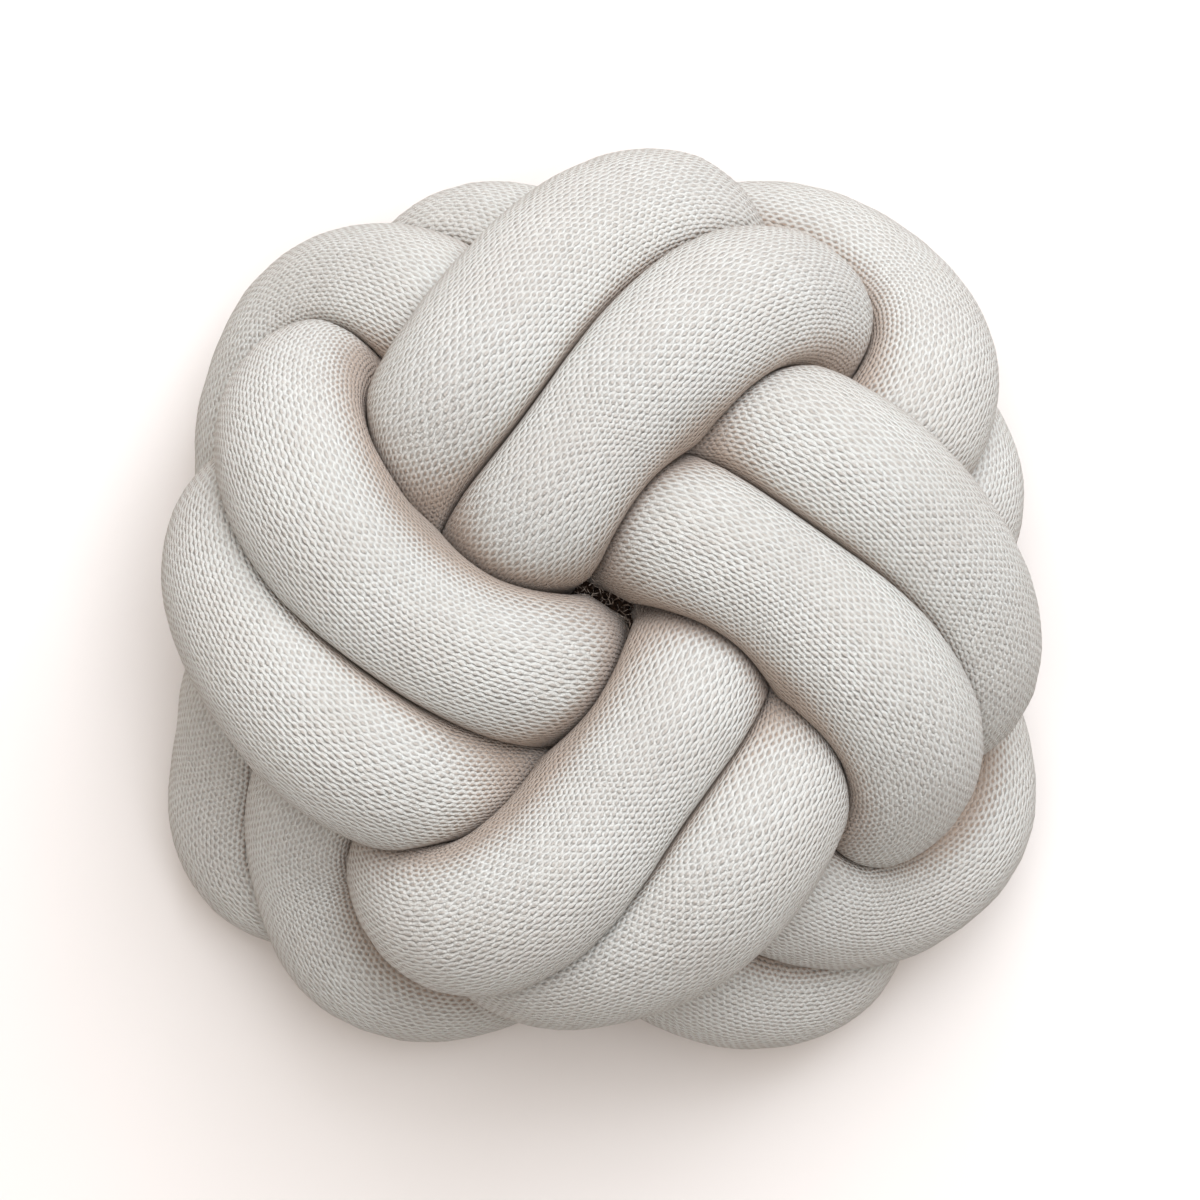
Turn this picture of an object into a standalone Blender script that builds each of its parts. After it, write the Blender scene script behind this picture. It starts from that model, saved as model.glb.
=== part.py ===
"""Knot cushion: one stuffed knitted tube worked twice round a four-sided ball knot.

Units are metres, +Z is up and the cushion lies on its back with its knot facing up.
"""
import math

import bmesh
import bpy
import numpy as np

for old in list(bpy.data.objects):
    bpy.data.objects.remove(old, do_unlink=True)

# ---- driving dimensions ----
MM = 0.001
TUBE_RADIUS = 26.0 * MM      # stuffed tube where nothing presses on it
SWELL = 1.10                 # most a pressed tube widens to keep the same girth
SETTLE = 3.6 * MM            # depth the lowest bends flatten by under the cushion's weight
TOUCH_GAP = 1.1 * MM         # clearance left between tubes that lie against each other
PRESS_SHARPNESS = 7.0        # how tightly a pressed side turns into a free one
REACH = 2.6                  # neighbours farther than this many radii never touch
OWN_REACH = 30.0 * MM        # length of its own tube that a ring ignores on either side
RINGS = 211                  # rings in one round of the knot
SIDES = 14                   # corners of a ring
BEND_WEIGHT = 0.8            # rings crowd together where the tube bends
BEND_ROOM = 0.78             # share of the bend's own radius the tube may fill inside it
FINE_STEPS = 80              # curve points between two stations
COARSE = 6                   # every so many of them stand for the tube a ring may touch
BEND_SPAN = 24               # curve points on either side over which a bend is measured
BISECTIONS = 7               # halvings in the search for a ring's free radius
EASINGS = 3                  # times the free radius is averaged with its neighbours'

# ---- the knot ----
# The tube goes three times round the axis in one round and makes four passes over the
# face and four over the back. Each pass is named for the side its crossing on the face
# is on. Two rounds lie side by side, so every crossing is two tubes over two.
PASSES = 4                   # left, top, right and bottom, in the order the tube makes them
FIRST_CROSSING = 196.0       # azimuth of the left crossing on the face, degrees
PASS_TURN = 270.0            # from one crossing on the face to the tube's next one
BACK_TURN = 135.0            # from a crossing on the face to the one on the back

# Stations of one pass. turn: degrees from the crossing; height and radii: mm.
#        turn  height  left   top  right bottom
FACE_INNER = (
    (-58, 78, 103, 101, 98, 84),
    (-50, 95, 116, 112, 110, 103),
    (-40, 122, 109, 103, 105, 112),
    (-28, 133, 91, 78, 81, 92),
    (-14, 133, 69, 58, 59, 66),
    (4, 133, 48, 43, 43, 49),
    (26, 126, 32, 37, 33, 40),
    (52, 104, 28, 37, 30, 38),
)
FACE_OUTER = (
    (-60, 61, 41, 44, 47, 43),
    (-42, 62, 68, 68, 72, 68),
    (-34, 69, 100, 109, 109, 107),
    (-26, 92, 118, 124, 121, 116),
    (-14, 112, 116, 115, 113, 112),
    (2, 127, 105, 96, 97, 101),
    (20, 128, 90, 82, 82, 85),
    (42, 106, 73, 74, 72, 76),
)
BACK_OUTER = (
    (-62, 96, 35, 38, 36, 38),
    (-44, 95, 53, 48, 52, 55),
    (-36, 95, 85, 68, 82, 92),
    (-29, 88, 107, 100, 112, 124),
    (-18, 63, 133, 124, 130, 138),
    (-2, 47, 146, 141, 126, 136),
    (16, 32, 115, 120, 108, 109),
    (40, 42, 83, 87, 83, 81),
)
BACK_INNER = (
    (-66, 89, 84, 81, 84, 85),
    (-50, 71, 116, 110, 112, 115),
    (-38, 50, 139, 127, 121, 126),
    (-26, 32, 141, 142, 103, 112),
    (-14, 27, 100, 126, 75, 78),
    (4, 27, 53, 64, 55, 53),
    (26, 34, 42, 44, 43, 42),
    (52, 48, 38, 41, 37, 36),
)
# Each round of the tube: its stations on the face, then its stations on the back.
ROUNDS = (
    (FACE_INNER, BACK_OUTER),
    (FACE_OUTER, BACK_INNER),
)

# The two rounds are sewn to each other inside the knot, under the bottom crossing.
JOIN_AZIMUTH = 286.0
JOIN_RADIUS = 88.0 * MM
JOIN_HEIGHT = 79.0 * MM
JOIN_SPAN = 2                # faces along and around that the join takes up


def polar(radius, azimuth, height):
    """Point at a radius and azimuth (degrees) about the knot's axis."""
    angle = math.radians(azimuth)
    return (radius * math.cos(angle), radius * math.sin(angle), height)


def round_stations(face, back):
    """Stations of one whole round of the tube, in the order the tube runs."""
    points = []
    for number in range(PASSES):
        crossing = FIRST_CROSSING + number * PASS_TURN
        for table, start in ((face, crossing), (back, crossing + BACK_TURN)):
            for turn, height, *radii in table:
                point = polar(radii[number] * MM, start + turn, height * MM - SETTLE)
                points.append(point)
    return np.array(points)


def closed_spline(points):
    """Smooth closed curve through the points, sampled finely."""
    count = len(points)
    ahead = np.roll(points, -1, axis=0)
    span = np.sqrt(np.linalg.norm(ahead - points, axis=1))
    matrix = np.zeros((count, count))
    right = np.zeros((count, 3))
    for i in range(count):
        before = span[i - 1]
        after = span[i]
        matrix[i, i - 1] += before
        matrix[i, i] += 2.0 * (before + after)
        matrix[i, (i + 1) % count] += after
        rise = (ahead[i] - points[i]) / after
        fall = (points[i] - points[i - 1]) / before
        right[i] = 6.0 * (rise - fall)
    bend = np.linalg.solve(matrix, right)
    bend_ahead = np.roll(bend, -1, axis=0)
    fine = []
    steps = np.linspace(0.0, 1.0, FINE_STEPS, endpoint=False)
    for i in range(count):
        h = span[i]
        b = (steps * h)[:, None]
        a = h - b
        curve = bend[i] * a**3 + bend_ahead[i] * b**3
        start = (points[i] / h - bend[i] * h / 6.0) * a
        end = (ahead[i] / h - bend_ahead[i] * h / 6.0) * b
        fine.append(curve / (6.0 * h) + start + end)
    return np.concatenate(fine)


def ring_centres(curve, count):
    """Centres of the rings: even along the curve, closer together at the bends."""
    step = np.linalg.norm(np.roll(curve, -1, axis=0) - curve, axis=1)
    ends = np.roll(curve, BEND_SPAN, axis=0) + np.roll(curve, -BEND_SPAN, axis=0)
    middle = 0.5 * ends
    length = BEND_SPAN * step.mean()
    bending = 2.0 * np.linalg.norm(middle - curve, axis=1) / length**2
    density = 1.0 + BEND_WEIGHT * np.minimum(bending * TUBE_RADIUS, 1.0)
    travel = np.concatenate(([0.0], np.cumsum(step * density)))
    want = np.linspace(0.0, travel[-1], count, endpoint=False)
    closed = np.vstack((curve, curve[:1]))
    return np.stack([np.interp(want, travel, closed[:, k]) for k in range(3)], axis=1)


def ring_frames(centres):
    """Two directions across the tube at each ring, carried along without twisting."""
    along = np.roll(centres, -1, axis=0) - np.roll(centres, 1, axis=0)
    along /= np.linalg.norm(along, axis=1)[:, None]
    across = np.zeros_like(centres)
    first = np.cross(along[0], (0.0, 0.0, 1.0))
    across[0] = first / np.linalg.norm(first)
    for i in range(1, len(centres)):
        carried = across[i - 1] - along[i] * np.dot(along[i], across[i - 1])
        across[i] = carried / np.linalg.norm(carried)
    back = across[-1] - along[0] * np.dot(along[0], across[-1])
    back /= np.linalg.norm(back)
    turned = np.dot(np.cross(back, across[0]), along[0])
    slip = math.atan2(turned, np.dot(back, across[0]))
    share = slip * np.arange(len(centres)) / len(centres)
    side = np.cross(along, across)
    cos, sin = np.cos(share)[:, None], np.sin(share)[:, None]
    return across * cos + side * sin, side * cos - across * sin


def pressed_limits(centre, directions, others):
    """How far each direction may go before it meets the tube round the other centres."""
    offset = others - centre
    near = np.linalg.norm(offset, axis=1) < REACH * TUBE_RADIUS
    offset = offset[near]
    if len(offset) == 0:
        return np.full(len(directions), 1.0)
    facing = directions @ offset.T
    half = (offset * offset).sum(axis=1)[None, :] / (2.0 * np.maximum(facing, 1e-9))
    half = np.where(facing > 1e-9, half, 1.0)
    return half.min(axis=1) - 0.5 * TOUCH_GAP


def eased(values):
    """Values round a closed loop, each averaged with its two neighbours."""
    around = np.roll(values, 1, axis=0) + np.roll(values, -1, axis=0)
    return 0.5 * values + 0.25 * around


def bend_vectors(centres):
    """Curvature vector of the tube at each ring."""
    ahead = np.roll(centres, -1, axis=0) - centres
    behind = centres - np.roll(centres, 1, axis=0)
    length_ahead = np.linalg.norm(ahead, axis=1)[:, None]
    length_behind = np.linalg.norm(behind, axis=1)[:, None]
    turn = ahead / length_ahead - behind / length_behind
    bend = 2.0 * turn / (length_ahead + length_behind)
    return eased(eased(bend))


def rounded_radius(free, limit):
    """Radius in each direction: free where nothing presses, rounding into the limits."""
    held = np.maximum(limit, MM) ** -PRESS_SHARPNESS
    mixed = (free ** -PRESS_SHARPNESS + held) ** (-1.0 / PRESS_SHARPNESS)
    return np.minimum(mixed, limit)


def free_radius(directions, limit):
    """Free radius that gives a pressed ring the girth of an unpressed one."""
    girth = 2.0 * SIDES * TUBE_RADIUS * math.sin(math.pi / SIDES)
    low, high = TUBE_RADIUS, SWELL * TUBE_RADIUS
    for _ in range(BISECTIONS):
        middle = 0.5 * (low + high)
        ring = directions * rounded_radius(middle, limit)[:, None]
        length = np.linalg.norm(np.roll(ring, -1, axis=0) - ring, axis=1).sum()
        if length < girth:
            low = middle
        else:
            high = middle
    return 0.5 * (low + high)


def tube_rings(curves, which):
    """Rings of one round, pressed flat against its neighbours and where it rests."""
    centres = ring_centres(curves[which], RINGS)
    across, side = ring_frames(centres)
    bend = bend_vectors(centres)
    angles = np.arange(SIDES) * 2.0 * math.pi / SIDES
    curve = curves[which][::COARSE]
    travel = np.linalg.norm(np.roll(curve, -1, axis=0) - curve, axis=1)
    total = travel.sum()
    place = np.concatenate(([0.0], np.cumsum(travel)[:-1]))
    others = [c[::COARSE] for k, c in enumerate(curves) if k != which]
    directions = np.cos(angles)[None, :, None] * across[:, None, :]
    directions = directions + np.sin(angles)[None, :, None] * side[:, None, :]
    limits = np.zeros((RINGS, SIDES))
    free = np.zeros(RINGS)
    for i in range(RINGS):
        here = place[np.argmin(np.linalg.norm(curve - centres[i], axis=1))]
        away = np.abs(place - here)
        away = np.minimum(away, total - away)
        facing = np.vstack([curve[away > OWN_REACH]] + others)
        limit = pressed_limits(centres[i], directions[i], facing)
        down = np.maximum(-directions[i][:, 2], 1e-6)
        limit = np.minimum(limit, centres[i, 2] / down)
        inward = np.maximum(directions[i] @ bend[i], 1e-6)
        limits[i] = np.minimum(limit, BEND_ROOM / inward)
        free[i] = free_radius(directions[i], limits[i])
    for _ in range(EASINGS):
        free = eased(free)
    radius = rounded_radius(free[:, None], limits)
    rings = centres[:, None, :] + directions * radius[:, :, None]
    rest_flat(rings, centres)
    return rings


def rest_flat(rings, centres):
    """Lower the underside of the lowest bends on to the surface the cushion rests on."""
    low = rings[:, :, 2] < 0.5 * SETTLE
    below = centres[:, 2][:, None] < TUBE_RADIUS
    rings[:, :, 2] = np.where(low & below, 0.0, rings[:, :, 2])


def add_round(bm, rings):
    """One closed round of the tube; returns its corners and faces by ring and side."""
    corners = [[bm.verts.new(p) for p in ring] for ring in rings]
    faces = []
    for i in range(RINGS):
        j = (i + 1) % RINGS
        row = []
        for k in range(SIDES):
            m = (k + 1) % SIDES
            loop = (corners[i][k], corners[j][k], corners[j][m], corners[i][m])
            row.append(bm.faces.new(loop))
        faces.append(row)
    return corners, faces


def join_patch(rings, target):
    """First ring and side of the patch nearest a point."""
    distance = np.linalg.norm(rings - np.array(target), axis=2)
    i, k = np.unravel_index(distance.argmin(), distance.shape)
    return (i - JOIN_SPAN // 2) % RINGS, (k - JOIN_SPAN // 2) % SIDES


def open_patch(bm, corners, faces, ring, side):
    """Take a patch out of a round and return the corners round the opening."""
    span = JOIN_SPAN
    for i in range(span):
        for k in range(span):
            bm.faces.remove(faces[(ring + i) % RINGS][(side + k) % SIDES])
    for i in range(1, span):
        for k in range(1, span):
            bm.verts.remove(corners[(ring + i) % RINGS][(side + k) % SIDES])
    path = [(0, k) for k in range(span)]
    path += [(i, span) for i in range(span)]
    path += [(span, span - k) for k in range(span)]
    path += [(span - i, 0) for i in range(span)]
    return [corners[(ring + i) % RINGS][(side + k) % SIDES] for i, k in path]


def sew_rounds(bm, first, second):
    """Close the two openings with the short neck that makes the rounds one piece."""
    count = len(first)
    best = None
    for order in (second, second[::-1]):
        for turn in range(count):
            turned = order[turn:] + order[:turn]
            total = sum((a.co - b.co).length for a, b in zip(first, turned))
            if best is None or total < best[0]:
                best = (total, turned)
    turned = best[1]
    for i in range(count):
        j = (i + 1) % count
        bm.faces.new((first[i], first[j], turned[j], turned[i]))


def fabric_material():
    """Undyed melange knit."""
    material = bpy.data.materials.new("ecru_knit")
    material.use_nodes = True
    shader = material.node_tree.nodes["Principled BSDF"]
    shader.inputs["Base Color"].default_value = (0.70, 0.66, 0.60, 1.0)
    shader.inputs["Roughness"].default_value = 0.95
    material.diffuse_color = (0.70, 0.66, 0.60, 1.0)
    return material


def build_cushion():
    """The whole knot as one closed solid."""
    curves = [closed_spline(round_stations(face, back)) for face, back in ROUNDS]
    rounds = [tube_rings(curves, which) for which in range(len(ROUNDS))]
    target = polar(JOIN_RADIUS, JOIN_AZIMUTH, JOIN_HEIGHT)
    bm = bmesh.new()
    openings = []
    for rings in rounds:
        corners, faces = add_round(bm, rings)
        ring, side = join_patch(rings, target)
        openings.append(open_patch(bm, corners, faces, ring, side))
    sew_rounds(bm, openings[0], openings[1])
    bmesh.ops.recalc_face_normals(bm, faces=bm.faces)
    bmesh.ops.triangulate(bm, faces=bm.faces, quad_method="SHORT_EDGE")
    mesh = bpy.data.meshes.new("knotted_tube")
    bm.to_mesh(mesh)
    bm.free()
    centre_on_axis(mesh)
    mesh.materials.append(fabric_material())
    return bpy.data.objects.new("knotted_tube", mesh)


def centre_on_axis(mesh):
    """Put the middle of the footprint on the origin and the underside at zero."""
    corner = np.array([v.co for v in mesh.vertices])
    low, high = corner.min(axis=0), corner.max(axis=0)
    shift = (0.5 * (low[0] + high[0]), 0.5 * (low[1] + high[1]), low[2])
    for vertex in mesh.vertices:
        vertex.co = [vertex.co[k] - shift[k] for k in range(3)]


collection = bpy.data.collections.new("knot_cushion")
bpy.context.scene.collection.children.link(collection)
collection.objects.link(build_cushion())
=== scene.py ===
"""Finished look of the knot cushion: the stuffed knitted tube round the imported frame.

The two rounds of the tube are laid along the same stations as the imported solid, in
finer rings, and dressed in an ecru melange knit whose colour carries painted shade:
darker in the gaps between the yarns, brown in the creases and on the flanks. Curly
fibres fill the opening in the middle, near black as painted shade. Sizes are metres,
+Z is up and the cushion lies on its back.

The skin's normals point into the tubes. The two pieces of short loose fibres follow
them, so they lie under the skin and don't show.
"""
import logging
import math
from dataclasses import dataclass, field
from enum import Enum

import bpy
import numpy as np
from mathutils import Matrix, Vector, noise


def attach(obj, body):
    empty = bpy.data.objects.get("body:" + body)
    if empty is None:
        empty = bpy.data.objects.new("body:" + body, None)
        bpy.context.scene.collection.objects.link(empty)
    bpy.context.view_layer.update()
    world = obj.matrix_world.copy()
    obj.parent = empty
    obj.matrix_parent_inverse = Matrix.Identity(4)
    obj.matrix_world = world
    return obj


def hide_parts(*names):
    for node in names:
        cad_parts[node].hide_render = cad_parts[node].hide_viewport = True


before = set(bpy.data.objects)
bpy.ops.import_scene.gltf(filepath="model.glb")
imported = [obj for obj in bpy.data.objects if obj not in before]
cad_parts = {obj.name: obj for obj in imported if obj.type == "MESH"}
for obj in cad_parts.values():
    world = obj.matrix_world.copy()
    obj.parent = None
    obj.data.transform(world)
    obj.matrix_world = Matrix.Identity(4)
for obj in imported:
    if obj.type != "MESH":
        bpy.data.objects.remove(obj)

LOG = logging.getLogger("knot_cushion")
MM = 0.001
# How far the knot is let down, so that its lowest bends press flat.
SETTLE = 3.6 * MM
# Distance that stands for nothing in the way.
CLEAR = 1.0
# Least values that are divided by.
LEAST_TOWARD = 1e-9
LEAST_LEAN = 1e-6
RANGE_SOCKETS = ("From Min", "From Max", "To Min", "To Max")

Table = tuple[tuple[int, ...], ...]
Pair = tuple[float, float]
Triple = tuple[float, float, float]
Colour = tuple[float, float, float, float]
Socket = bpy.types.NodeSocket


class Side(Enum):
    """Sides of the face, in the order in which the tube crosses them."""

    LEFT = 0
    TOP = 1
    RIGHT = 2
    BOTTOM = 3


class Lane(Enum):
    """Where a round of the tube lies on the face: next to the middle or outside it."""

    NEAR = "near"
    FAR = "far"


# Stations of one pass. turn: degrees from the crossing; height and radii: mm.
#    turn  height  left   top  right bottom
FACE_NEAR: Table = (
    (-58, 78, 103, 101, 98, 84),
    (-50, 95, 116, 112, 110, 103),
    (-40, 122, 109, 103, 105, 112),
    (-28, 133, 91, 78, 81, 92),
    (-14, 133, 69, 58, 59, 66),
    (4, 133, 48, 43, 43, 49),
    (26, 126, 32, 37, 33, 40),
    (52, 104, 28, 37, 30, 38),
)
FACE_FAR: Table = (
    (-60, 61, 41, 44, 47, 43),
    (-42, 62, 68, 68, 72, 68),
    (-34, 69, 100, 109, 109, 107),
    (-26, 92, 118, 124, 121, 116),
    (-14, 112, 116, 115, 113, 112),
    (2, 127, 105, 96, 97, 101),
    (20, 128, 90, 82, 82, 85),
    (42, 106, 73, 74, 72, 76),
)
BACK_FAR: Table = (
    (-62, 96, 35, 38, 36, 38),
    (-44, 95, 53, 48, 52, 55),
    (-36, 95, 85, 68, 82, 92),
    (-29, 88, 107, 100, 112, 124),
    (-18, 63, 133, 124, 130, 138),
    (-2, 47, 146, 141, 126, 136),
    (16, 32, 115, 120, 108, 109),
    (40, 42, 83, 87, 83, 81),
)
BACK_NEAR: Table = (
    (-66, 89, 84, 81, 84, 85),
    (-50, 71, 116, 110, 112, 115),
    (-38, 50, 139, 127, 121, 126),
    (-26, 32, 141, 142, 103, 112),
    (-14, 27, 100, 126, 75, 78),
    (4, 27, 53, 64, 55, 53),
    (26, 34, 42, 44, 43, 42),
    (52, 48, 38, 41, 37, 36),
)


def eased(values: np.ndarray, times: int = 1) -> np.ndarray:
    """Average each value of a closed loop with its two neighbours.

    Args:
        values: values round the loop, along the first axis.
        times: how many times the averaging is repeated.

    Returns:
        The eased values.
    """
    for _ in range(times):
        around = np.roll(values, 1, axis=0) + np.roll(values, -1, axis=0)
        values = 0.5 * values + 0.25 * around
    return values


def placed(name: str, data: bpy.types.ID) -> bpy.types.Object:
    """Put a mesh, a lamp or a camera into the scene.

    Args:
        name: name of the new object.
        data: what the object holds.

    Returns:
        The new object, linked to the scene.
    """
    item = bpy.data.objects.new(name, data)
    bpy.context.scene.collection.objects.link(item)
    return item


def meshed(name: str, corners: np.ndarray, faces: list) -> bpy.types.Object:
    """Make a mesh from its corners and faces.

    Args:
        name: name of the mesh and of its object.
        corners: places of the corners, in rows or in groups of rows.
        faces: corner numbers of each face.

    Returns:
        The new object, linked to the scene.
    """
    mesh = bpy.data.meshes.new(name)
    mesh.from_pydata(corners.reshape(-1, 3).tolist(), [], faces)
    return placed(name, mesh)


@dataclass(frozen=True)
class KnotPath:
    """Middle line of one round of the tube."""

    lane: Lane
    first_crossing: float = 196.0
    pass_turn: float = 270.0
    back_turn: float = 135.0
    fine_steps: int = 80

    def stations(self) -> np.ndarray:
        """Lay out the stations of the round, in the order the tube runs.

        Returns:
            One row of x, y and z for each station.
        """
        if self.lane is Lane.NEAR:
            face, back = FACE_NEAR, BACK_FAR
        else:
            face, back = FACE_FAR, BACK_NEAR
        points = []
        for side in Side:
            crossing = self.first_crossing + side.value * self.pass_turn
            for table, start in ((face, crossing), (back, crossing + self.back_turn)):
                for turn, height, *radii in table:
                    angle = math.radians(start + turn)
                    radius = radii[side.value] * MM
                    flat = (radius * math.cos(angle), radius * math.sin(angle))
                    points.append((*flat, height * MM - SETTLE))
        return np.array(points)

    def curve(self) -> np.ndarray:
        """Run a smooth closed curve through the stations.

        Returns:
            Closely spaced points along the curve.
        """
        points = self.stations()
        count = len(points)
        ahead = np.roll(points, -1, axis=0)
        span = np.sqrt(np.linalg.norm(ahead - points, axis=1))
        matrix = np.zeros((count, count))
        right = np.zeros((count, 3))
        for i in range(count):
            before, after = span[i - 1], span[i]
            matrix[i, i - 1] += before
            matrix[i, i] += 2.0 * (before + after)
            matrix[i, (i + 1) % count] += after
            rise = (ahead[i] - points[i]) / after
            right[i] = 6.0 * (rise - (points[i] - points[i - 1]) / before)
        bend = np.linalg.solve(matrix, right)
        bend_ahead = np.roll(bend, -1, axis=0)
        steps = np.linspace(0.0, 1.0, self.fine_steps, endpoint=False)
        fine = []
        for i in range(count):
            h = span[i]
            b = (steps * h)[:, None]
            a = h - b
            start = (points[i] / h - bend[i] * h / 6.0) * a
            end = (ahead[i] / h - bend_ahead[i] * h / 6.0) * b
            bent = (bend[i] * a**3 + bend_ahead[i] * b**3) / (6.0 * h)
            fine.append(bent + start + end)
        return np.concatenate(fine)


@dataclass
class KnitTube:
    """One round of the stuffed tube, pressed by the tubes that lie against it."""

    name: str
    lane: Lane
    radius: float = 26.0 * MM
    swell: float = 1.10
    touch_gap: float = 0.14 * MM
    press_sharpness: float = 16.0
    opening_release: float = 11.0
    opening_size: float = 44.0 * MM
    reach: float = 2.6
    own_reach: float = 30.0 * MM
    rings: int = 720
    sides: int = 128
    bend_weight: float = 0.5
    bend_room: float = 0.78
    bend_span: int = 24
    coarse: int = 3
    bisections: int = 8
    bend_easings: int = 24
    free_easings: int = 36
    legs: int = 98
    course: float = 2.7 * MM
    lump_height: float = 0.55 * MM
    lump_size: float = 34.0 * MM
    pucker_height: float = 0.35 * MM
    pucker_size: float = 9.0 * MM
    soft_room: float = 2.0 * MM
    shelter_step: int = 24
    # Painted shade: how strongly flanks and undersides that face away from up are
    # darkened in the knit's colour.
    flank_shade: float = 0.38
    middle_ease: float = 0.6
    middle_size: float = 24.0 * MM
    curves: dict[Lane, np.ndarray] = field(default_factory=dict)

    def centres(self) -> np.ndarray:
        """Place the middles of the rings, closer together where the tube bends.

        Returns:
            One row of x, y and z for each ring.
        """
        curve = self.curves[self.lane]
        step = np.linalg.norm(np.roll(curve, -1, axis=0) - curve, axis=1)
        ends = np.roll(curve, self.bend_span, axis=0)
        ends = ends + np.roll(curve, -self.bend_span, axis=0)
        length = self.bend_span * step.mean()
        bending = 2.0 * np.linalg.norm(0.5 * ends - curve, axis=1) / length**2
        density = 1.0 + self.bend_weight * np.minimum(bending * self.radius, 1.0)
        travel = np.concatenate(([0.0], np.cumsum(step * density)))
        want = np.linspace(0.0, travel[-1], self.rings, endpoint=False)
        closed = np.vstack((curve, curve[:1]))
        spaced = [np.interp(want, travel, closed[:, k]) for k in range(3)]
        return np.stack(spaced, axis=1)

    def frames(self, centres: np.ndarray) -> np.ndarray:
        """Carry the outward directions of a ring along the tube without twisting.

        Args:
            centres: middles of the rings.

        Returns:
            Unit vectors, one row of directions for each ring.
        """
        along = np.roll(centres, -1, axis=0) - np.roll(centres, 1, axis=0)
        along /= np.linalg.norm(along, axis=1)[:, None]
        across = np.zeros_like(centres)
        first = np.cross(along[0], (0.0, 0.0, 1.0))
        across[0] = first / np.linalg.norm(first)
        for i in range(1, len(centres)):
            carried = across[i - 1] - along[i] * np.dot(along[i], across[i - 1])
            across[i] = carried / np.linalg.norm(carried)
        back = across[-1] - along[0] * np.dot(along[0], across[-1])
        back /= np.linalg.norm(back)
        turned = np.dot(np.cross(back, across[0]), along[0])
        slip = math.atan2(turned, np.dot(back, across[0]))
        share = slip * np.arange(len(centres)) / len(centres)
        up = np.cross(along, across)
        cos, sin = np.cos(share)[:, None], np.sin(share)[:, None]
        right, up = across * cos + up * sin, up * cos - across * sin
        angle = np.arange(self.sides) * 2.0 * math.pi / self.sides
        facing = np.cos(angle)[None, :, None] * right[:, None, :]
        return facing + np.sin(angle)[None, :, None] * up[:, None, :]

    def bends(self, centres: np.ndarray) -> np.ndarray:
        """Measure how sharply, and which way, the tube bends at each ring.

        Args:
            centres: middles of the rings.

        Returns:
            Curvature vectors.
        """
        ahead = np.roll(centres, -1, axis=0) - centres
        behind = centres - np.roll(centres, 1, axis=0)
        length_ahead = np.linalg.norm(ahead, axis=1)[:, None]
        length_behind = np.linalg.norm(behind, axis=1)[:, None]
        turn = ahead / length_ahead - behind / length_behind
        bend = 2.0 * turn / (length_ahead + length_behind)
        return eased(bend, self.bend_easings)

    def pressed_limit(
        self, centre: np.ndarray, facing: np.ndarray, others: np.ndarray
    ) -> np.ndarray:
        """Find how far each direction may go before it meets another tube.

        Args:
            centre: middle of the ring.
            facing: the ring's directions.
            others: middles of the tubes round about.

        Returns:
            A distance for each direction.
        """
        offset = others - centre
        near = np.linalg.norm(offset, axis=1) < self.reach * self.radius
        offset = offset[near]
        if len(offset) == 0:
            return np.full(len(facing), CLEAR)
        toward = facing @ offset.T
        square = (offset * offset).sum(axis=1)[None, :]
        half = square / (2.0 * np.maximum(toward, LEAST_TOWARD))
        half = np.where(toward > LEAST_TOWARD, half, CLEAR)
        return half.min(axis=1) - 0.5 * self.touch_gap

    def sharpness(self, centres: np.ndarray) -> np.ndarray:
        """Say how closely each ring follows what presses it, less beside the opening.

        Args:
            centres: middles of the rings.

        Returns:
            One exponent for each ring.
        """
        off_axis = np.linalg.norm(centres[:, :2], axis=1) / self.opening_size
        return self.press_sharpness - self.opening_release * np.exp(-(off_axis**2))

    def rounded(
        self, free: float | np.ndarray, limit: np.ndarray, sharp: float | np.ndarray
    ) -> np.ndarray:
        """Round a free ring into its limits.

        Args:
            free: radius where nothing presses.
            limit: distance to what presses, for each direction.
            sharp: how closely the ring follows its limits.

        Returns:
            Radius in each direction.
        """
        held = np.maximum(limit, MM) ** -sharp
        return np.minimum((free**-sharp + held) ** (-1.0 / sharp), limit)

    def free_radius(self, facing: np.ndarray, limit: np.ndarray, sharp: float) -> float:
        """Find the free radius that keeps a pressed ring's girth.

        Args:
            facing: the ring's directions.
            limit: distance to what presses, for each direction.
            sharp: how closely the ring follows its limits.

        Returns:
            The radius.
        """
        girth = 2.0 * math.pi * self.radius
        low, high = self.radius, self.swell * self.radius
        for _ in range(self.bisections):
            middle = 0.5 * (low + high)
            ring = facing * self.rounded(middle, limit, sharp)[:, None]
            if np.linalg.norm(np.roll(ring, -1, axis=0) - ring, axis=1).sum() < girth:
                low = middle
            else:
                high = middle
        return 0.5 * (low + high)

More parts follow.
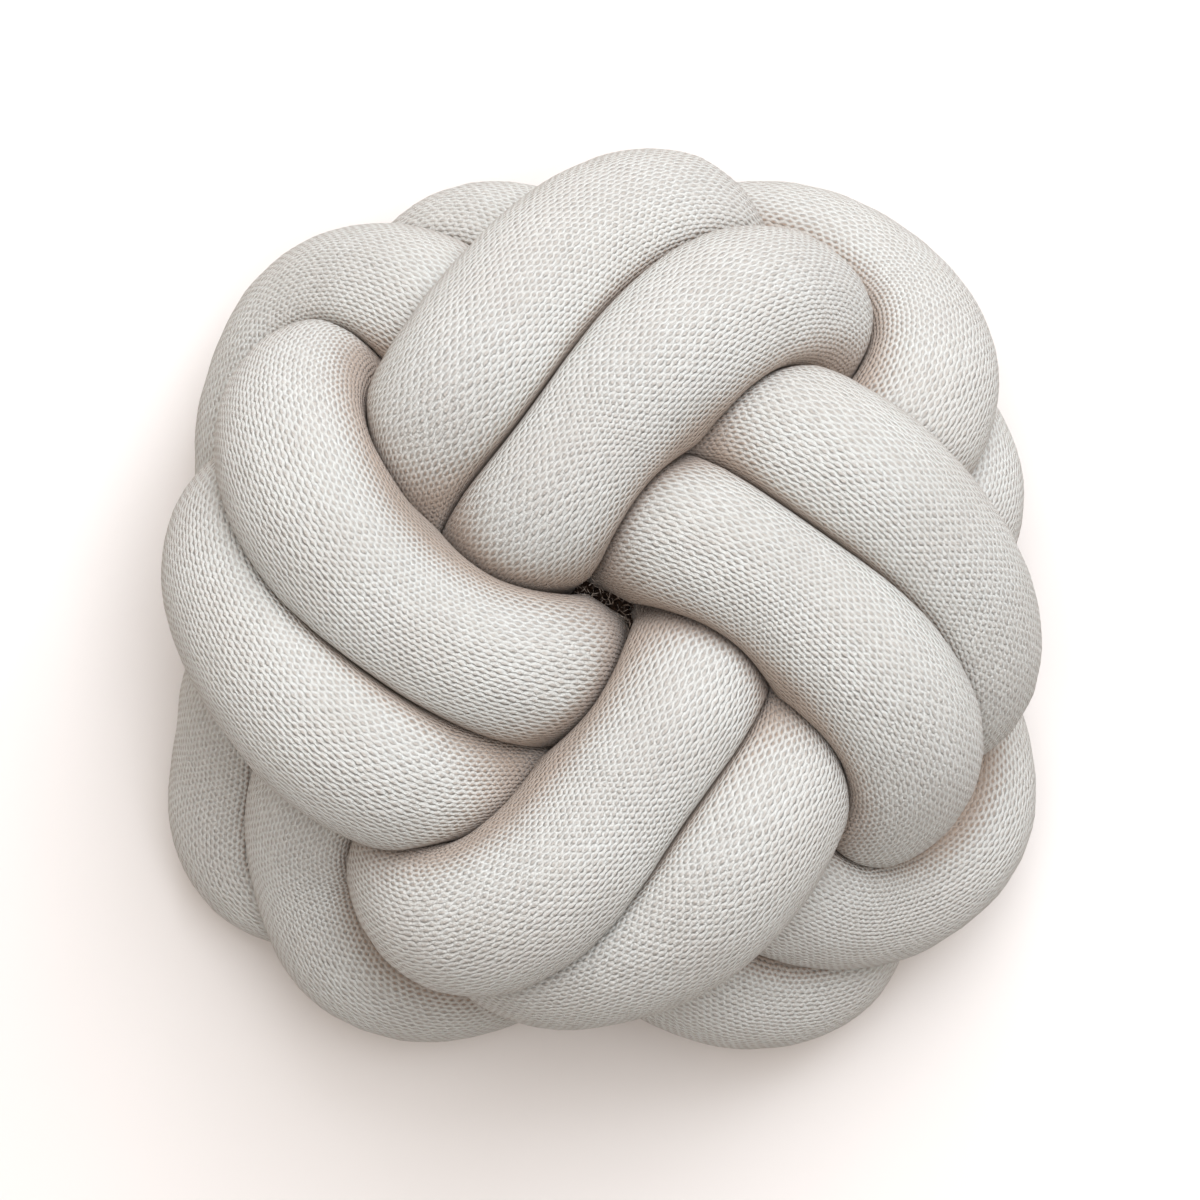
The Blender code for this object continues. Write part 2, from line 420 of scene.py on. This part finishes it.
    def press(
        self, centres: np.ndarray, facing: np.ndarray, sharp: np.ndarray
    ) -> tuple[np.ndarray, np.ndarray]:
        """Find what holds each ring in, and the free radius that keeps its girth.

        Args:
            centres: middles of the rings.
            facing: directions of the corners.
            sharp: how closely each ring follows its limits.

        Returns:
            A distance to what presses for each corner, and a radius for each ring.
        """
        bend = self.bends(centres)
        curve = self.curves[self.lane][:: self.coarse]
        travel = np.linalg.norm(np.roll(curve, -1, axis=0) - curve, axis=1)
        place = np.concatenate(([0.0], np.cumsum(travel)[:-1]))
        others = [
            other[:: self.coarse]
            for lane, other in self.curves.items()
            if lane is not self.lane
        ]
        limits = np.zeros((self.rings, self.sides))
        free = np.zeros(self.rings)
        for i, centre in enumerate(centres):
            here = place[np.argmin(np.linalg.norm(curve - centre, axis=1))]
            away = np.abs(place - here)
            away = np.minimum(away, travel.sum() - away)
            near = np.vstack([curve[away > self.own_reach]] + others)
            limit = self.pressed_limit(centre, facing[i], near)
            down = np.maximum(-facing[i][:, 2], LEAST_LEAN)
            limit = np.minimum(limit, centre[2] / down)
            inward = np.maximum(facing[i] @ bend[i], LEAST_LEAN)
            limits[i] = np.minimum(limit, self.bend_room / inward)
            free[i] = self.free_radius(facing[i], limits[i], sharp[i])
        return limits, eased(free, self.free_easings)

    def shape(self) -> tuple[np.ndarray, np.ndarray, np.ndarray]:
        """Press the round against its neighbours and the surface under it.

        Returns:
            The corners of the rings, how firmly each corner is pressed, 0 to 1, and how
            far the other tubes and the floor shelter it, about 1 where two tubes touch;
            that share sets the painted shade in the knit's colour.
        """
        centres = self.centres()
        facing = self.frames(centres)
        sharp = self.sharpness(centres)
        limits, free = self.press(centres, facing, sharp)
        radius = self.rounded(free[:, None], limits, sharp[:, None])
        pressed = np.clip(radius / limits, 0.0, 1.0) ** sharp[:, None]
        radius = self.soften(centres, facing, radius, limits)
        corners = centres[:, None, :] + facing * radius[:, :, None]
        low = corners[:, :, 2] < 0.5 * SETTLE
        below = centres[:, 2][:, None] < self.radius
        corners[:, :, 2] = np.where(low & below, 0.0, corners[:, :, 2])
        return corners, pressed, self.painted_shade_mask(corners, facing)

    def painted_shade_mask(self, corners: np.ndarray, facing: np.ndarray) -> np.ndarray:
        """Measure how much of the room the tubes and the floor hide from each corner,
        as the mask for the shade painted into the knit's colour.

        Args:
            corners: corners of the rings.
            facing: directions of the corners.

        Returns:
            The hidden share, about 1 where two tubes touch.
        """
        curves = self.curves.values()
        middles = np.vstack([curve[:: self.shelter_step] for curve in curves])
        curve = self.curves[self.lane]
        length = np.linalg.norm(np.roll(curve, -1, axis=0) - curve, axis=1).sum()
        spacing = length * self.shelter_step / len(curve)
        hidden = np.zeros(corners.shape[:2])
        for i, (ring, out) in enumerate(zip(corners, facing)):
            offset = middles[None, :, :] - ring[:, None, :]
            far = np.linalg.norm(offset, axis=2)
            toward = np.clip((offset * out[:, None, :]).sum(axis=2) / far, 0.0, 1.0)
            share = np.minimum((self.radius / far) ** 2, 1.0) * toward
            hidden[i] = share.sum(axis=1) * spacing / (2.0 * self.radius)
            # Painted shade on the flanks and undersides, which face away from up.
            hidden[i] += self.flank_shade * (1.0 - np.maximum(out[:, 2], 0.0)) ** 2
        # Less painted shade beside the opening in the middle.
        middle = (np.linalg.norm(corners[:, :, :2], axis=2) / self.middle_size) ** 2
        return hidden * (1.0 - self.middle_ease * np.exp(-middle))

    def soften(
        self,
        centres: np.ndarray,
        facing: np.ndarray,
        radius: np.ndarray,
        limits: np.ndarray,
    ) -> np.ndarray:
        """Let the filling show as low lumps, and the cover as fine puckers.

        Args:
            centres: middles of the rings.
            facing: directions of the corners.
            radius: radius in each direction.
            limits: distance to what presses in each direction.

        Returns:
            The softened radius, unchanged where the ring is at its limit.
        """
        corners = centres[:, None, :] + facing * radius[:, :, None]
        change = np.zeros_like(radius)
        for size, height in (
            (self.lump_size, self.lump_height),
            (self.pucker_size, self.pucker_height),
        ):
            flat = (corners / size).reshape(-1, 3)
            values = [noise.noise(Vector(point)) for point in flat]
            change += height * np.array(values).reshape(radius.shape)
        room = np.clip((limits - radius) / self.soft_room, 0.0, 1.0)
        return radius + change * room

    def build(self) -> bpy.types.Object:
        """Make the round's mesh, with the knit's wales and courses as its UV map.

        The faces are wound so that their normals point into the tube.

        Returns:
            The new piece, linked to the scene.
        """
        corners, pressed, shelter = self.shape()
        rings, sides = pressed.shape
        ring = np.arange(rings)[:, None]
        side = np.arange(sides)[None, :]
        ahead, beside = (ring + 1) % rings, (side + 1) % sides
        faces = np.stack(
            np.broadcast_arrays(
                ring * sides + side,
                ahead * sides + side,
                ahead * sides + beside,
                ring * sides + beside,
            ),
            axis=-1,
        ).reshape(-1, 4)
        piece = meshed(self.name, corners, faces.tolist())
        mesh = piece.data
        mesh.polygons.foreach_set("use_smooth", np.ones(len(faces), dtype=bool))
        leg, row = self.knit_places(corners)
        loops = np.stack(
            (
                np.stack((leg[:-1, :-1], row[:-1, :-1]), axis=-1),
                np.stack((leg[1:, :-1], row[1:, :-1]), axis=-1),
                np.stack((leg[1:, 1:], row[1:, 1:]), axis=-1),
                np.stack((leg[:-1, 1:], row[:-1, 1:]), axis=-1),
            ),
            axis=2,
        )
        uv = mesh.uv_layers.new(name="knit")
        uv.data.foreach_set("uv", loops.reshape(-1).astype(np.float32))
        for name, values in (("pressed", pressed), ("painted_shade_mask", shelter)):
            layer = mesh.attributes.new(name, "FLOAT", "POINT")
            layer.data.foreach_set("value", values.reshape(-1).astype(np.float32))
        return piece

    def knit_places(self, corners: np.ndarray) -> tuple[np.ndarray, np.ndarray]:
        """Count the legs of the stitches round the tube and the courses along it.

        Args:
            corners: corners of the rings.

        Returns:
            Leg and course numbers, with one more ring and side than the corners.
        """
        step = np.linalg.norm(np.roll(corners, -1, axis=1) - corners, axis=2)
        seam = np.zeros((len(corners), 1))
        travel = np.concatenate((seam, np.cumsum(step, axis=1)), axis=1)
        share = travel / travel[:, -1:]
        even = np.linspace(0.0, 1.0, self.sides + 1)
        share = share - (share - even).mean(axis=1)[:, None]
        share = np.vstack((share, share[:1]))
        centres = corners.mean(axis=1)
        length = np.linalg.norm(np.roll(centres, -1, axis=0) - centres, axis=1)
        course = np.concatenate(([0.0], np.cumsum(length)))
        rows = round(course[-1] / self.course)
        row = np.broadcast_to((course * rows / course[-1])[:, None], share.shape)
        return share * self.legs, row


class NodeSheet:
    """Short hand for laying out a material's nodes."""

    def __init__(self, name: str) -> None:
        """Start a material that has only its output.

        Args:
            name: name of the material.
        """
        self.material = bpy.data.materials.new(name)
        self.material.use_nodes = True
        self.tree = self.material.node_tree
        self.tree.nodes.clear()

    def add(self, kind: str, **settings: object) -> bpy.types.Node:
        """Add a node.

        Args:
            kind: Blender's name for the kind of node.
            settings: values of the node's own properties.

        Returns:
            The new node.
        """
        node = self.tree.nodes.new(kind)
        for key, value in settings.items():
            setattr(node, key, value)
        return node

    def put(self, value: float | Socket, socket: Socket) -> None:
        """Set a socket, or link another socket to it.

        Args:
            value: a number, a tuple or the socket to link.
            socket: the socket that receives it.
        """
        if isinstance(value, Socket):
            self.tree.links.new(value, socket)
        else:
            socket.default_value = value

    def math(self, kind: str, a: float | Socket, b: float | Socket = 0.0) -> Socket:
        """Work out one value from one or two others.

        Args:
            kind: Blender's name for the operation.
            a: first value or socket.
            b: second value or socket.

        Returns:
            The result's socket.
        """
        node = self.add("ShaderNodeMath", operation=kind)
        self.put(a, node.inputs[0])
        self.put(b, node.inputs[1])
        return node.outputs[0]

    def span(self, value: Socket, given: Pair, wanted: Pair) -> Socket:
        """Ease a value from one range into another.

        Args:
            value: the value's socket.
            given: start and end of its range.
            wanted: start and end of the new range.

        Returns:
            The result's socket.
        """
        node = self.add("ShaderNodeMapRange", interpolation_type="SMOOTHSTEP")
        self.put(value, node.inputs["Value"])
        for key, number in zip(RANGE_SOCKETS, (*given, *wanted)):
            node.inputs[key].default_value = number
        return node.outputs["Result"]

    def noise(self, place: Socket, scale: float, detail: float) -> bpy.types.Node:
        """Add soft noise about 0.5.

        Args:
            place: coordinates.
            scale: grains for each metre of the coordinates.
            detail: number of finer layers.

        Returns:
            The noise's node.
        """
        node = self.add("ShaderNodeTexNoise")
        self.put(place, node.inputs["Vector"])
        node.inputs["Scale"].default_value = scale
        node.inputs["Detail"].default_value = detail
        return node

    def parts(self, vector: Socket) -> bpy.types.bpy_prop_collection:
        """Split a vector or a colour into its numbers.

        Args:
            vector: the socket to split.

        Returns:
            One socket for each number.
        """
        node = self.add("ShaderNodeSeparateXYZ")
        self.put(vector, node.inputs[0])
        return node.outputs

    def mix(self, share: float | Socket, a: object, b: object) -> Socket:
        """Mix two colours.

        Args:
            share: how much of the second, 0 to 1.
            a: first colour or socket.
            b: second colour or socket.

        Returns:
            The mixed colour's socket.
        """
        node = self.add("ShaderNodeMix", data_type="RGBA")
        # The mix node keeps the sockets of all its data types; these are the colours.
        self.put(share, node.inputs[0])
        self.put(a, node.inputs[6])
        self.put(b, node.inputs[7])
        return node.outputs[2]

    def finish(self, inputs: dict[str, object]) -> bpy.types.Material:
        """Close the material with its shader.

        Args:
            inputs: a value or a socket for each of the shader's inputs, by name.

        Returns:
            The finished material.
        """
        shader = self.add("ShaderNodeBsdfPrincipled")
        for name, value in inputs.items():
            self.put(value, shader.inputs[name])
        output = self.add("ShaderNodeOutputMaterial")
        self.put(shader.outputs[0], output.inputs["Surface"])
        return self.material


@dataclass(frozen=True)
class Grain:
    """A soft noise, and the part of its range that shows."""

    scale: float
    detail: float
    shown: Pair
    share: float = 1.0

    def lay(self, sheet: NodeSheet, place: Socket) -> Socket:
        """Lay the noise over the object.

        Args:
            sheet: the material's nodes.
            place: coordinates on the object.

        Returns:
            The noise's socket, from 0 up to its share.
        """
        noisy = sheet.noise(place, self.scale, self.detail).outputs["Fac"]
        return sheet.span(noisy, self.shown, (0.0, self.share))


@dataclass(frozen=True)
class MelangeKnit:
    """Fine open knit of ecru melange yarn, with painted shade in its gaps, creases and
    flanks.
    """

    yarn: Colour = (0.78, 0.79, 0.752, 1.0)
    # Painted shade: the dark brown in the gaps between the yarns.
    painted_gap_shade: Colour = (0.34, 0.255, 0.195, 1.0)
    shade: Colour = (0.64, 0.615, 0.565, 1.0)
    # Painted shade: the brown of the creases, the flanks and the underside.
    crease: Colour = (0.44, 0.332, 0.255, 1.0)
    stitch_depth: float = 0.62 * MM
    rope_share: float = 0.60
    lean: float = 0.12
    wander: float = 0.34
    wander_scale: float = 230.0
    wander_detail: float = 3.0
    yarn_range: Pair = (-1.05, 0.50)
    gap_range: Pair = (-1.0, 0.10)
    fibre_scale: float = 1000.0
    fibre_detail: float = 3.0
    ply_height: float = 1.5
    melange: Grain = Grain(420.0, 5.0, (0.38, 0.66))
    melange_share: float = 0.35
    clouds: Grain = Grain(32.0, 2.0, (0.35, 0.70), 0.35)
    grain_range: Pair = (0.42, 0.64)
    grain_share: float = 0.45
    # Painted shade in the gaps: the range of the sheltered share over which it grows,
    # and how strong it gets.
    gap_shade_range: Pair = (0.04, 0.42)
    openness: Pair = (0.44, 1.0)
    # Painted shade: the range of the sheltered share that browns the knit, and how much
    # it browns.
    painted_shade_range: Pair = (0.12, 0.82)
    painted_shade_share: float = 0.8
    rough_range: Pair = (0.3, 0.7)
    roughness: Pair = (0.86, 1.0)
    gloss: float = 0.2
    sheen: float = 0.25
    sheen_roughness: float = 0.6

    def stitches(self, sheet: NodeSheet, place: Socket) -> tuple[Socket, Socket]:
        """Lay the legs of the stitches out over the wales and courses.

        Args:
            sheet: the material's nodes.
            place: coordinates on the object.

        Returns:
            Height of the yarn and openness between the yarns, both 0 to 1.
        """
        knit = sheet.add("ShaderNodeUVMap", uv_map="knit")
        counted = sheet.parts(knit.outputs["UV"])
        drift = sheet.noise(place, self.wander_scale, self.wander_detail)
        loose = sheet.parts(drift.outputs["Color"])
        moved = []
        for axis in range(2):
            off = sheet.math("SUBTRACT", loose[axis], 0.5)
            off = sheet.math("MULTIPLY", off, 2.0 * self.wander)
            moved.append(sheet.math("ADD", counted[axis], off))
        leg, row = moved
        turn = sheet.math("MULTIPLY", leg, math.pi)
        course = sheet.math("COSINE", sheet.math("MULTIPLY", row, 2.0 * math.pi))
        lean = sheet.math("MULTIPLY", sheet.math("COSINE", turn), course)
        bent = sheet.math("ADD", leg, sheet.math("MULTIPLY", lean, self.lean))
        ropes = sheet.math("COSINE", sheet.math("MULTIPLY", bent, 2.0 * math.pi))
        joints = sheet.math("MULTIPLY", course, sheet.math("SINE", turn))
        ropes = sheet.math("MULTIPLY", ropes, self.rope_share)
        joints = sheet.math("MULTIPLY", joints, 1.0 - self.rope_share)
        net = sheet.math("SUBTRACT", ropes, joints)
        tall = sheet.span(net, self.yarn_range, (0.0, 1.0))
        gaps = sheet.span(net, self.gap_range, (1.0, 0.0))
        return tall, gaps

    def material(self) -> bpy.types.Material:
        """Make the knit's material.

        Returns:
            The material.
        """
        sheet = NodeSheet("ecru_melange_knit")
        place = sheet.add("ShaderNodeTexCoord").outputs["Object"]
        tall, gaps = self.stitches(sheet, place)
        fibres = sheet.noise(place, self.fibre_scale, self.fibre_detail).outputs["Fac"]
        plies = sheet.math("SUBTRACT", fibres, 0.5)
        plies = sheet.math("MULTIPLY", plies, self.ply_height)
        relief = sheet.math("ADD", tall, plies)
        melange = self.melange.lay(sheet, place)
        clouds = self.clouds.lay(sheet, place)
        melange = sheet.math("MULTIPLY", melange, self.melange_share)
        grain = sheet.span(fibres, self.grain_range, (0.0, self.grain_share))
        hidden = sheet.add("ShaderNodeAttribute", attribute_name="painted_shade_mask")
        hidden = hidden.outputs["Fac"]
        # Painted shade in the gaps between the yarns, stronger where the tubes and the
        # floor hide the knit.
        gap_shade = sheet.span(hidden, self.gap_shade_range, self.openness)
        gaps = sheet.math("MULTIPLY", gaps, gap_shade)
        # Painted shade: brown in the creases between tubes, on the flanks and on the
        # underside.
        painted_shade = sheet.span(hidden, self.painted_shade_range, (0.0, self.painted_shade_share))
        colour = sheet.mix(melange, self.yarn, self.shade)
        for share, layer in (
            (clouds, self.shade),
            (grain, self.shade),
            (gaps, self.painted_gap_shade),
            (painted_shade, self.crease),
        ):
            colour = sheet.mix(share, colour, layer)
        bump = sheet.add("ShaderNodeBump")
        bump.inputs["Strength"].default_value = 1.0
        bump.inputs["Distance"].default_value = self.stitch_depth
        sheet.put(relief, bump.inputs["Height"])
        return sheet.finish(
            {
                "Base Color": colour,
                "Roughness": sheet.span(fibres, self.rough_range, self.roughness),
                "Specular IOR Level": self.gloss,
                "Sheen Weight": self.sheen,
                "Sheen Roughness": self.sheen_roughness,
                "Normal": bump.outputs["Normal"],
            }
        )


@dataclass(frozen=True)
class FibreFinish:
    """Loose ends of the yarn."""

    name: str = "loose_fibres"
    colour: Colour = (0.80, 0.77, 0.72, 1.0)
    grey: Colour = (0.50, 0.42, 0.35, 1.0)
    patches: Grain = Grain(420.0, 2.0, (0.35, 0.65))
    roughness: float = 0.9
    sheen: float = 0.2

    def material(self) -> bpy.types.Material:
        """Make the fibres' material.

        Returns:
            The material.
        """
        sheet = NodeSheet(self.name)
        place = sheet.add("ShaderNodeTexCoord").outputs["Object"]
        share = self.patches.lay(sheet, place)
        return sheet.finish(
            {
                "Base Color": sheet.mix(share, self.colour, self.grey),
                "Roughness": self.roughness,
                "Sheen Weight": self.sheen,
            }
        )


@dataclass
class FibreHalo:
    """Short loose fibres along the normals of one round of the knit.

    The normals point into the tube, so the fibres lie under its skin.
    """

    name: str
    tube: bpy.types.Object
    seed: int
    count: int = 60000
    length: Pair = (0.7 * MM, 1.9 * MM)
    crease_length: float = 2.3 * MM
    thickness: float = 0.10 * MM
    scatter: float = 0.6 * MM
    bends: Pair = (0.2, 0.9)
    knee: float = 0.5
    tip: float = 0.85
    sag: float = 0.35
    crease_start: float = 0.12
    crease_rise: float = 0.25
    crease_fall: float = 0.10
    most_pressed: float = 0.93
    crease_share: float = 18.0
    lowest: float = 0.1 * MM

    def build(self) -> bpy.types.Object:
        """Grow the fibres from points all over the tube.

        Returns:
            The new piece, linked to the scene.
        """
        mesh = self.tube.data
        count = len(mesh.vertices)
        points = np.zeros(count * 3)
        normals = np.zeros(count * 3)
        mesh.vertices.foreach_get("co", points)
        mesh.vertex_normals.foreach_get("vector", normals)
        points, normals = points.reshape(-1, 3), normals.reshape(-1, 3)
        pressed = np.zeros(count)
        mesh.attributes["pressed"].data.foreach_get("value", pressed)
        crease = np.clip((pressed - self.crease_start) / self.crease_rise, 0.0, 1.0)
        fading = np.clip((self.most_pressed - pressed) / self.crease_fall, 0.0, 1.0)
        crease *= fading
        free = np.where(pressed < self.most_pressed, 1.0, 0.0)
        weight = free + self.crease_share * crease
        chance = np.random.default_rng(self.seed)
        roots = chance.choice(count, self.count, p=weight / weight.sum())
        shift = chance.normal(0.0, self.scatter, (self.count, 3))
        out = normals[roots]
        shift -= out * (shift * out).sum(axis=1)[:, None]
        base = points[roots] + shift
        lean = chance.normal(0.0, 1.0, (self.count, 3))
        lean -= out * (lean * out).sum(axis=1)[:, None]
        lean /= np.linalg.norm(lean, axis=1)[:, None]
        across = np.cross(out, lean)
        long = chance.uniform(*self.length, self.count)
        long = (long + self.crease_length * crease[roots])[:, None]
        curl = chance.uniform(*self.bends, self.count)[:, None]
        middle = base + long * (self.knee * out + self.sag * curl * lean)
        tip = base + long * ((self.tip - self.sag * curl) * out + curl * lean)
        wide = 0.5 * self.thickness * across
        strand = (base - wide, base + wide, middle + wide, middle - wide, tip)
        corners = np.stack(strand, axis=1)
        corners[:, :, 2] = np.maximum(corners[:, :, 2], self.lowest)
        start = np.arange(self.count) * len(strand)
        quads = np.stack([start + k for k in (0, 1, 2, 3)], axis=1).tolist()
        tips = np.stack([start + k for k in (3, 2, 4)], axis=1).tolist()
        return meshed(self.name, corners, quads + tips)


@dataclass
class CoreTangle:
    """Curly fibres that fill the narrow opening in the middle of the knot."""

    name: str
    seed: int
    count: int = 2200
    steps: int = 8
    middle: Pair = (3.5 * MM, -2.0 * MM)
    azimuth: float = -35.0
    half_length: float = 15.0 * MM
    half_width: float = 6.5 * MM
    heights: Pair = (72.0 * MM, 100.0 * MM)
    curl: Pair = (0.5 * MM, 1.7 * MM)
    winding: Pair = (2.0, 7.0)
    spread: Triple = (1.0, 1.0, 0.45)
    advance: float = 7.0 * MM
    thickness: float = 0.22 * MM

    def build(self, shift: Vector) -> bpy.types.Object:
        """Curl the fibres through the opening.

        Args:
            shift: how far the knot's axis lies from the middle of the footprint.

        Returns:
            The new piece, linked to the scene.
        """
        chance = np.random.default_rng(self.seed)
        angle = math.radians(self.azimuth)
        along = np.array((math.cos(angle), math.sin(angle), 0.0))
        across = np.array((-math.sin(angle), math.cos(angle), 0.0))
        start = np.zeros((self.count, 3))
        for half, way in ((self.half_length, along), (self.half_width, across)):
            start += chance.uniform(-half, half, (self.count, 1)) * way
        start[:, 0] += self.middle[0] + shift.x
        start[:, 1] += self.middle[1] + shift.y
        start[:, 2] = chance.uniform(*self.heights, self.count) + shift.z
        axis = chance.normal(0.0, 1.0, (self.count, 3)) * self.spread
        axis /= np.linalg.norm(axis, axis=1)[:, None]
        right = np.cross(axis, (0.0, 0.0, 1.0))
        right /= np.linalg.norm(right, axis=1)[:, None]
        up = np.cross(right, axis)
        size = chance.uniform(*self.curl, self.count)[:, None]
        phase = chance.uniform(0.0, 2.0 * math.pi, self.count)[:, None]
        winding = chance.uniform(*self.winding, self.count)[:, None]
        rows = []
        for step in np.linspace(0.0, 1.0, self.steps):
            turn = phase + winding * step
            place = start + axis * self.advance * (step - 0.5)
            place = place + size * (np.cos(turn) * right + np.sin(turn) * up)
            side = 0.5 * self.thickness * (np.cos(turn) * up - np.sin(turn) * right)
            rows.append(np.stack((place - side, place + side), axis=1))
        corners = np.concatenate(rows, axis=1)
        first = np.arange(self.count) * 2 * self.steps
        quads = []
        for step in range(self.steps - 1):
            ends = (2 * step, 2 * step + 1, 2 * step + 3, 2 * step + 2)
            quads += np.stack([first + k for k in ends], axis=1).tolist()
        return meshed(self.name, corners, quads)


@dataclass
class Cushion:
    """The whole knot: two rounds of tube and their fibres."""

    node: str = "knotted_tube"
    slot: str = "knit"
    fill: float = 0.85
    halo_seed: int = 11
    # Painted shade: the fibres in the opening are near black and stand in for the shade
    # there.
    core_shade_colour: Colour = (0.085, 0.040, 0.020, 1.0)
    core_shade_grey: Colour = (0.024, 0.012, 0.006, 1.0)
    rim_colour: Colour = (0.60, 0.51, 0.43, 1.0)
    rim_grey: Colour = (0.32, 0.24, 0.18, 1.0)
    pieces: list[bpy.types.Object] = field(default_factory=list)
    shift: Vector = field(default_factory=lambda: Vector((0.0, 0.0, 0.0)))

    def build(self) -> None:
        """Make the two rounds and centre their footprint on the frame's origin."""
        curves = {lane: KnotPath(lane).curve() for lane in Lane}
        for lane in Lane:
            tube = KnitTube(f"knit_tube_{lane.value}", lane, curves=curves)
            self.pieces.append(tube.build())
            LOG.info("%s: %d corners", tube.name, len(self.pieces[-1].data.vertices))
        corners = np.array([v.co for piece in self.pieces for v in piece.data.vertices])
        low, high = corners.min(axis=0), corners.max(axis=0)
        middle = 0.5 * (low + high)
        self.shift = Vector((-middle[0], -middle[1], -low[2]))
        for piece in self.pieces:
            for vertex in piece.data.vertices:
                vertex.co += self.shift

    def tangles(self) -> list[bpy.types.Object]:
        """Fill the opening with fibres coloured near black as painted shade, and its
        mouth with a few pale ones.

        Returns:
            The two new pieces.
        """
        core = CoreTangle("core_shade_fibres", seed=13)
        rim = CoreTangle(
            "rim_fibres",
            seed=14,
            count=110,
            half_width=6.0 * MM,
            heights=(104.0 * MM, 121.0 * MM),
            curl=(0.3 * MM, 1.1 * MM),
            advance=3.6 * MM,
            thickness=0.16 * MM,
        )
        tangles = []
        for tangle, colour, grey in (
            (core, self.core_shade_colour, self.core_shade_grey),
            (rim, self.rim_colour, self.rim_grey),
        ):
            piece = tangle.build(self.shift)
            finish = FibreFinish(tangle.name, colour, grey, sheen=0.0)
            piece.data.materials.append(finish.material())
            tangles.append(piece)
        return tangles

    def dress(self) -> None:
        knit = MelangeKnit().material()
        loose = FibreFinish().material()
        halos = []
        for number, piece in enumerate(self.pieces):
            piece.data.materials.append(knit)
            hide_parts(self.node)
            name, seed = f"{piece.name}_fibres", self.halo_seed + number
            halo = FibreHalo(name, piece, seed).build()
            halo.data.materials.append(loose)
            halos.append(halo)
            LOG.info("%s: %d fibres", halo.name, len(halo.data.polygons) // 2)
        self.pieces += halos + self.tangles()
        for piece in self.pieces:
            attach(piece, "root")


@dataclass(frozen=True)
class Lamp:
    """Soft square lamp that faces the cushion.

    Its warmth is the share of its blue that is held back. Below 0 the lamp is blue.
    """

    name: str
    place: Triple
    size: float
    power: float
    warmth: float
    green_share: float = 0.4

    def hang(self) -> None:
        """Hang the lamp in its place."""
        lamp = bpy.data.lights.new(self.name, "AREA")
        lamp.shape = "SQUARE"
        lamp.size = self.size
        lamp.energy = self.power
        green = 1.0 - self.green_share * self.warmth
        lamp.color = (1.0, green, 1.0 - self.warmth)
        item = placed(self.name, lamp)
        place = Vector(self.place)
        item.location = place
        item.rotation_euler = (-place).to_track_quat("-Z", "Y").to_euler()


@dataclass(frozen=True)
class Studio:
    """Pale floor, soft light from above and the top edge, and the camera."""

    floor_size: float = 8.0
    floor_colour: Colour = (0.93, 0.888, 0.85, 1.0)
    floor_roughness: float = 0.9
    distance: float = 1.8
    tilt: float = 3.0
    lens: float = 160.2
    sensor: float = 36.0
    target: Triple = (0.0, 0.0, 0.0814)
    sky_colour: Colour = (1.0, 0.845, 0.705, 1.0)
    dome: tuple[float, ...] = (0.12, 0.95, 0.0, 0.70)
    dome_axis: Triple = (-0.04, 0.28, 0.96)
    lamps: tuple[Lamp, ...] = (
        Lamp("key", (0.72, 2.15, 2.62), size=2.56, power=73.0, warmth=-0.17),
        Lamp("top", (0.0, 0.2, 2.6), size=1.6, power=31.5, warmth=-0.16),
    )

    def floor(self) -> None:
        """Lay the floor."""
        signs = np.array(((-1, -1, 0), (1, -1, 0), (1, 1, 0), (-1, 1, 0)))
        floor = meshed("floor", 0.5 * self.floor_size * signs, [(0, 1, 2, 3)])
        colour, roughness = self.floor_colour, self.floor_roughness
        pale = NodeSheet("pale_floor").finish(
            {"Base Color": colour, "Roughness": roughness}
        )
        floor.data.materials.append(pale)

    def sky(self) -> None:
        """Fill the room with warm light that grows upwards and to the top edge."""
        world = bpy.data.worlds.new("pale_room")
        world.use_nodes = True
        tree = world.node_tree
        background = tree.nodes["Background"]
        background.inputs["Color"].default_value = self.sky_colour
        place = tree.nodes.new("ShaderNodeTexCoord")
        lean = tree.nodes.new("ShaderNodeVectorMath")
        lean.operation = "DOT_PRODUCT"
        lean.inputs[1].default_value = self.dome_axis
        rise = tree.nodes.new("ShaderNodeMapRange")
        for key, number in zip(RANGE_SOCKETS, self.dome):
            rise.inputs[key].default_value = number
        tree.links.new(place.outputs["Generated"], lean.inputs[0])
        tree.links.new(lean.outputs["Value"], rise.inputs["Value"])
        tree.links.new(rise.outputs["Result"], background.inputs["Strength"])
        bpy.context.scene.world = world

    def camera(self, shift: Vector) -> None:
        """Set the camera over the face, at the photograph's angle.

        Args:
            shift: how far the knot's axis lies from the middle of the footprint.
        """
        lens = bpy.data.cameras.new("camera")
        lens.sensor_width = self.sensor
        lens.lens = self.lens
        angle = math.radians(self.tilt)
        back = Vector((-math.sin(angle), 0.0, math.cos(angle)))
        item = placed("camera", lens)
        item.location = Vector(self.target) + Vector((shift.x, shift.y, 0.0))
        item.location += back * self.distance
        item.rotation_euler = (0.0, -angle, 0.0)
        bpy.context.scene.camera = item

    def build(self, shift: Vector) -> None:
        """Set up the whole studio.

        Args:
            shift: how far the knot's axis lies from the middle of the footprint.
        """
        self.floor()
        for lamp in self.lamps:
            lamp.hang()
        self.sky()
        self.camera(shift)
        bpy.context.scene.view_settings.view_transform = "Standard"


def write_sizes() -> None:
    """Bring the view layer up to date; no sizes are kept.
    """
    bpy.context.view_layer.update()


def main() -> None:
    """Build the cushion and its studio, and report each piece."""
    logging.basicConfig(level=logging.INFO, format="%(name)s: %(message)s")
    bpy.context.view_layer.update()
    cushion = Cushion()
    cushion.build()
    cushion.dress()
    Studio().build(cushion.shift)
    write_sizes()
    LOG.info("%d pieces", len(cushion.pieces))


if __name__ == "__main__":
    main()
